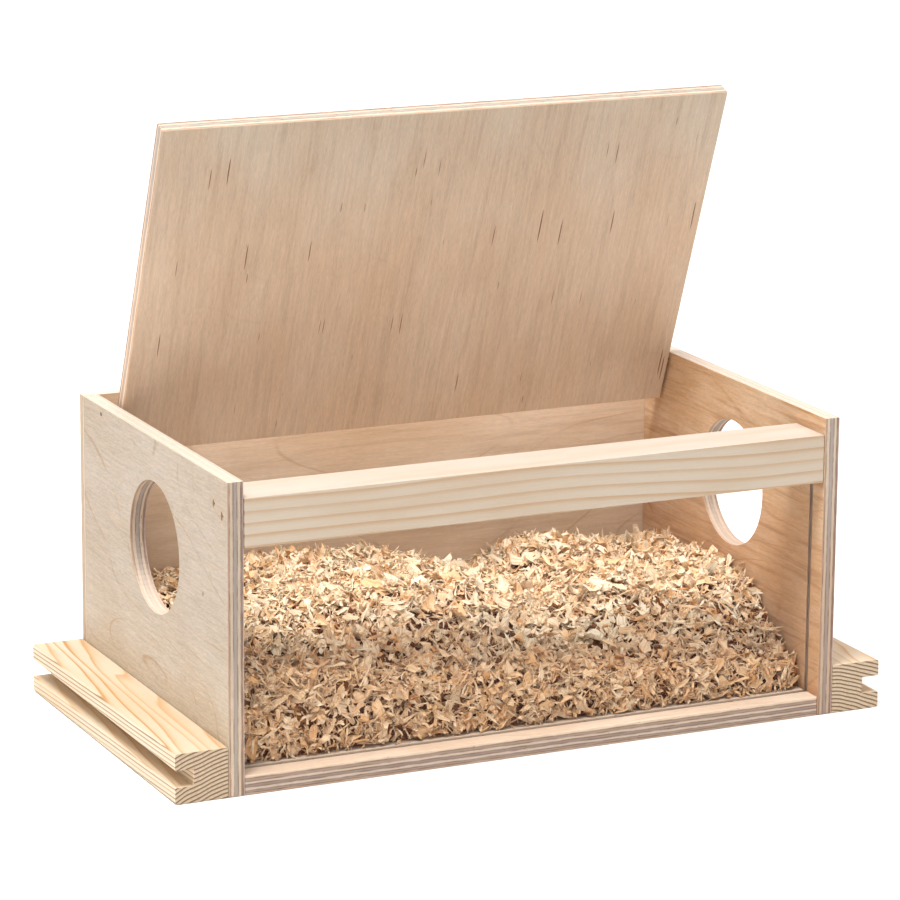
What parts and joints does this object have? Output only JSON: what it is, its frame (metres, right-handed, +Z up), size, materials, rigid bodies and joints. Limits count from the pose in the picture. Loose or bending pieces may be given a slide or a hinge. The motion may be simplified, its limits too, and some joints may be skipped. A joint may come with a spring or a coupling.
{
  "type": "hamster cage",
  "caption": "Plywood small-animal cage with a clear front, round entry holes in both ends, a hinged lid and grooved connector rails along its feet.",
  "frame": {"origin": "centre of the footprint, on the ground: midway between the two connector rails' outer faces and between the front edges and the back panel's rear face, at the underside", "axes": "+X to the right along the length, seen from the front; +Y from the front pane towards the back panel; +Z up"},
  "size_m": [0.423, 0.218, 0.337],
  "materials": {
    "birch_plywood": "raw sanded birch plywood, layered edges",
    "thin_birch_plywood": "raw sanded thin birch plywood",
    "pine": "raw planed solid pine with wide growth rings",
    "clear_acrylic": "clear, polished",
    "wood_shavings": "loose softwood shavings",
    "steel": "plain bright steel brads, nails and screws"
  },
  "bodies": {
    "box": {"left_side_wall": "birch_plywood", "right_side_wall": "birch_plywood", "back_panel": "thin_birch_plywood", "floor_panel": "birch_plywood", "front_crossbar": "pine", "front_pane": "clear_acrylic", "left_connector_rail": "pine", "right_connector_rail": "pine", "wood_shavings_bedding": "wood_shavings", "left_crossbar_brad_1": "steel", "left_crossbar_brad_2": "steel", "left_floor_brad_1": "steel", "left_floor_brad_2": "steel", "left_floor_brad_3": "steel", "left_back_brad_1": "steel", "left_back_brad_2": "steel", "left_back_brad_3": "steel", "left_rail_screw_1": "steel", "left_rail_screw_2": "steel", "left_rail_screw_3": "steel", "right_crossbar_brad_1": "steel", "right_crossbar_brad_2": "steel", "right_floor_brad_1": "steel", "right_floor_brad_2": "steel", "right_floor_brad_3": "steel", "right_back_brad_1": "steel", "right_back_brad_2": "steel", "right_back_brad_3": "steel", "right_rail_screw_1": "steel", "right_rail_screw_2": "steel", "right_rail_screw_3": "steel", "floor_back_brad_1": "steel", "floor_back_brad_2": "steel", "floor_back_brad_3": "steel"},
    "lid": {"lid_panel": "birch_plywood", "left_pivot_nail": "steel", "right_pivot_nail": "steel"}
  },
  "joints": [
    {"name": "lid_hinge", "type": "hinge", "parent": "box", "child": "lid", "pos_m": [0, 0.0755, 0.1655], "axis": [1, 0, 0], "range_deg": [-91, 69]}
  ]
}
